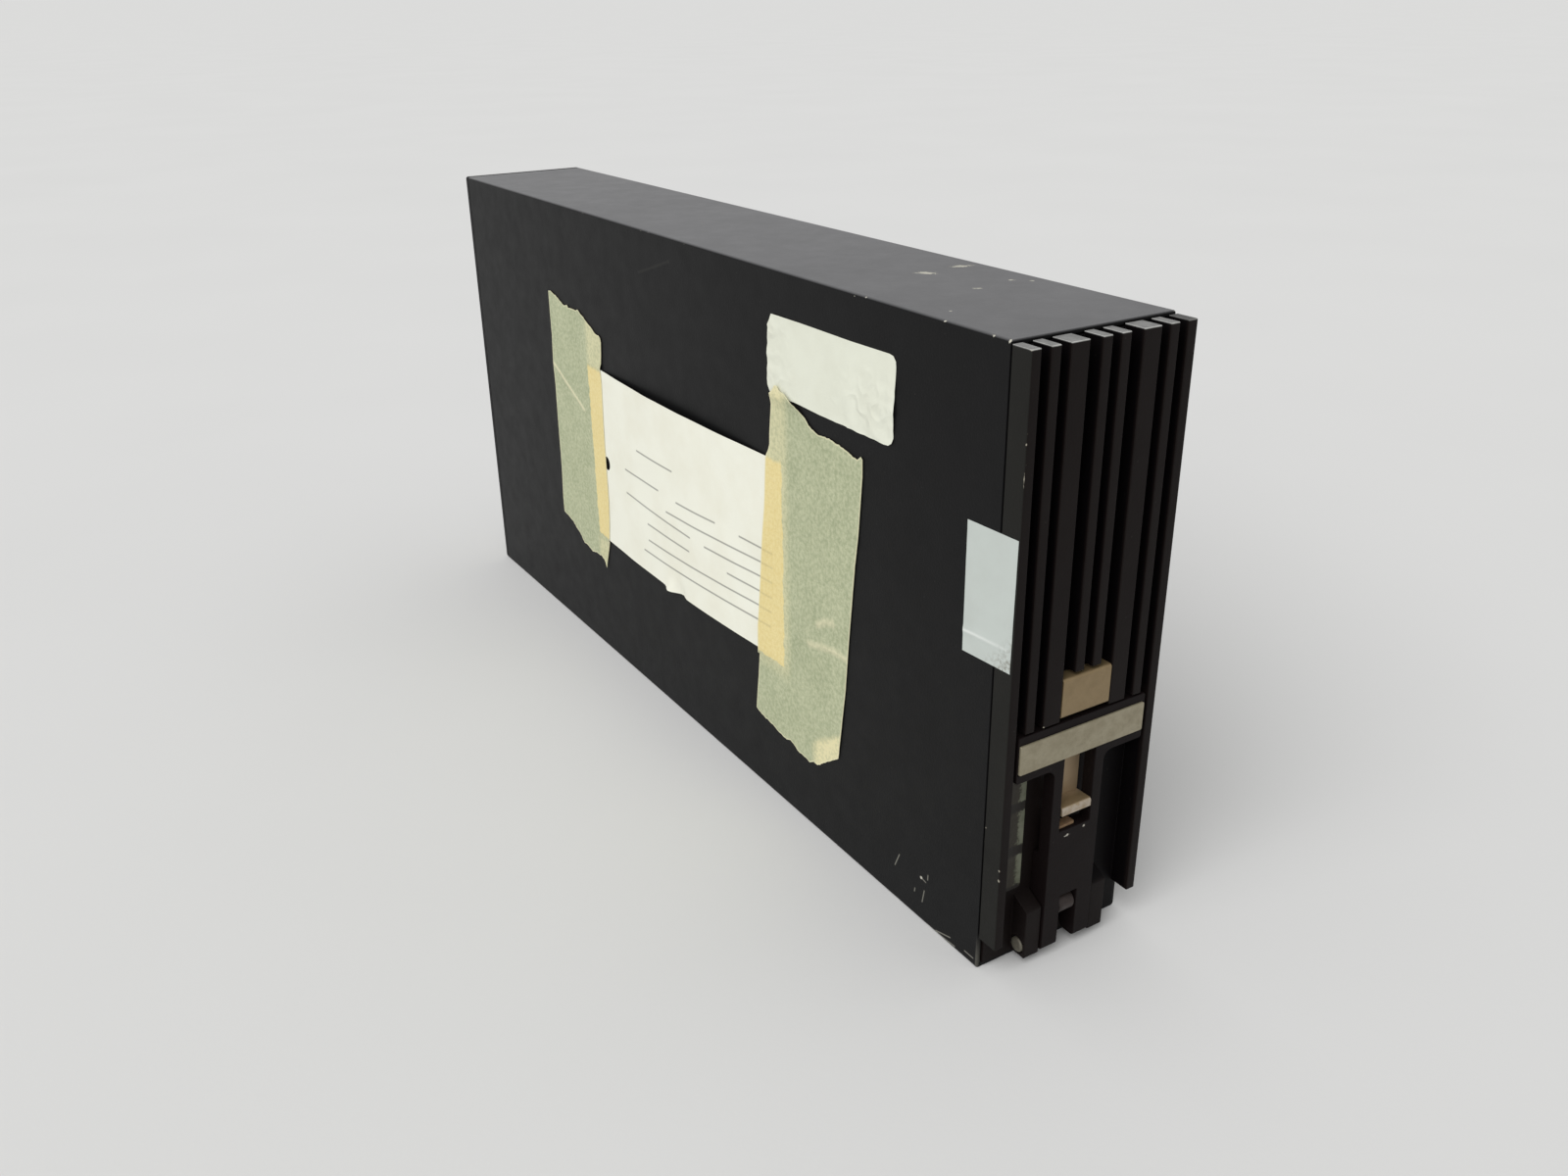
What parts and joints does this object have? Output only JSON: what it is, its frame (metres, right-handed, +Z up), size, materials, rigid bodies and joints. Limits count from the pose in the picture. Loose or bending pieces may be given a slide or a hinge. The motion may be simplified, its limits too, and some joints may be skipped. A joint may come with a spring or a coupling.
{
  "type": "rack-mounted avionics computer",
  "caption": "Flat black rack-mounted avionics computer with a finned front, a hinged T-shaped extractor handle, a sprung catch and a rear plug connector.",
  "frame": {"origin": "middle of the case's underside", "axes": "+X to the right seen from the front, the front faces -Y, +Z up"},
  "size_m": [0.0572, 0.4105, 0.194],
  "materials": {
    "case_black": "satin black paint",
    "front_black": "matte black paint",
    "nameplate_silver": "worn satin",
    "catch_tan": "tan plated",
    "roller_steel": "dark worn",
    "steel": "satin",
    "frame_aluminium": "satin",
    "board_green": "satin",
    "black_moulding": "matte",
    "insert_green": "matte",
    "transformer_brown": "matte",
    "capacitor_blue": "gloss"
  },
  "bodies": {
    "chassis": {"case_sleeve": "case_black", "rear_panel": "case_black", "front_heatsink": "front_black", "hinge_pin_left": "steel", "hinge_pin_right": "steel", "catch_pivot_pin": "steel", "catch_spring": "steel", "keying_post_1": "steel", "keying_post_2": "steel", "keying_post_3": "steel", "oscillator_can": "steel", "backup_battery": "steel", "emi_filter": "steel", "rear_panel_screw_lower_left": "steel", "rear_panel_screw_lower_right": "steel", "rear_panel_screw_upper_left": "steel", "rear_panel_screw_upper_right": "steel", "connector_screw_lower_left": "steel", "connector_screw_lower_right": "steel", "connector_screw_upper_left": "steel", "connector_screw_upper_right": "steel", "connector_shell": "frame_aluminium", "rail_lower_left": "frame_aluminium", "rail_lower_right": "frame_aluminium", "rail_upper_left": "frame_aluminium", "rail_upper_right": "frame_aluminium", "standoff_lower_left": "frame_aluminium", "standoff_lower_right": "frame_aluminium", "standoff_upper_left": "frame_aluminium", "standoff_upper_right": "frame_aluminium", "backplane_board": "board_green", "interface_board": "board_green", "processor_board": "board_green", "power_board": "board_green", "lower_card_guide": "black_moulding", "upper_card_guide": "black_moulding", "interface_socket": "black_moulding", "processor_socket": "black_moulding", "power_socket": "black_moulding", "processor_chip": "black_moulding", "memory_module": "black_moulding", "power_transistor_1": "black_moulding", "power_transistor_2": "black_moulding", "connector_insert_a": "insert_green", "connector_insert_b": "insert_green", "connector_insert_c": "insert_green", "transformer": "transformer_brown", "capacitor_1": "capacitor_blue", "capacitor_2": "capacitor_blue"},
    "handle": {"handle": "front_black", "nameplate": "nameplate_silver", "roller_pin": "steel"},
    "roller": {"extractor_roller": "roller_steel"},
    "catch": {"catch_lever": "catch_tan"}
  },
  "joints": [
    {"name": "handle_hinge", "type": "hinge", "parent": "chassis", "child": "handle", "pos_m": [0, -0.1977, 0.0061], "axis": [1, 0, 0], "range_deg": [0, 90]},
    {"name": "roller_spin", "type": "hinge", "parent": "handle", "child": "roller", "pos_m": [0, -0.1984, 0.0165], "axis": [1, 0, 0], "continuous": true},
    {"name": "catch_rocker", "type": "hinge", "parent": "chassis", "child": "catch", "pos_m": [0, -0.1944, 0.07565], "axis": [-1, 0, 0], "range_deg": [0, 6], "stiffness_Nm_per_rad": 0.5, "springref_deg": -2.86, "deforming": ["catch_spring"]}
  ]
}
